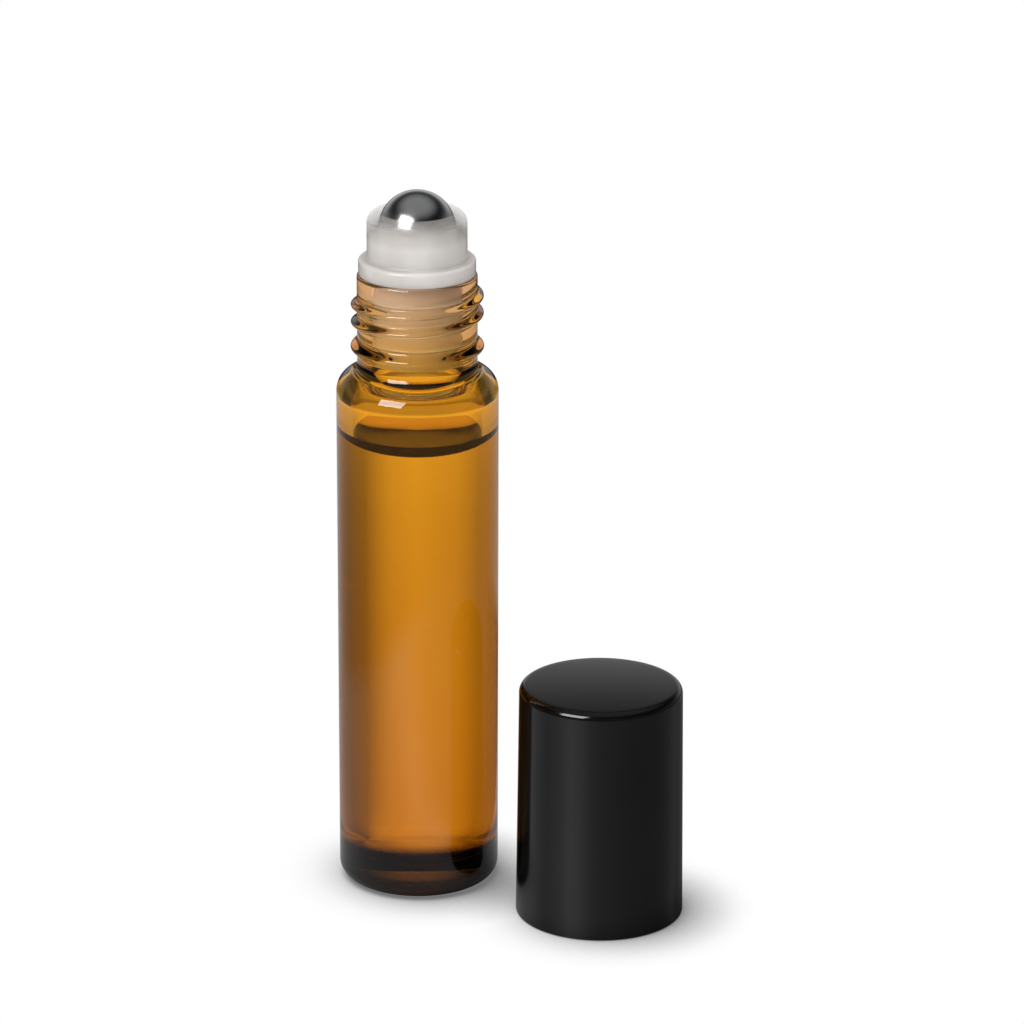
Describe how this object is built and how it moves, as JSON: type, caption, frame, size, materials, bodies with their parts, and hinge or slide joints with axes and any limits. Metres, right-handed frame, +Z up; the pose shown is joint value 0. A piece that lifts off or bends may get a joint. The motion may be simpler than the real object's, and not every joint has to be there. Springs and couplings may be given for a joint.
{
  "type": "roll on bottle",
  "caption": "Amber glass roll-on bottle with a screw neck and a steel ball in a snap-in housing, and its smooth black cap standing beside it.",
  "frame": {"origin": "centre of the bottle's base, on the surface that the bottle and the cap stand on", "axes": "+Z up along the bottle's axis; the standing cap lies towards +X and -Y, so the picture looks along +Y"},
  "size_m": [0.0431, 0.0321, 0.0895],
  "materials": {
    "amber_glass": "clear amber, smooth",
    "oil": null,
    "natural_plastic": "natural translucent plastic, satin",
    "polished_steel": "mirror polished",
    "black_gloss_plastic": "glossy black, smooth",
    "black_moulded_plastic": "satin black"
  },
  "bodies": {
    "bottle": {"bottle": "amber_glass", "oil_fill": "oil", "roller_housing": "natural_plastic"},
    "ball": {"roller_ball": "polished_steel"},
    "cap": {"cap_shell": "black_gloss_plastic", "cap_liner": "black_moulded_plastic"}
  },
  "joints": [
    {"name": "ball_roll", "type": "hinge", "parent": "bottle", "child": "ball", "pos_m": [0, 0, 0.08475], "axis": [1, 0, 0], "continuous": true},
    {"name": "cap_lift", "type": "slide", "parent": "bottle", "child": "cap", "axis": [0, 0, 1], "range_m": [0, 0.095]}
  ]
}
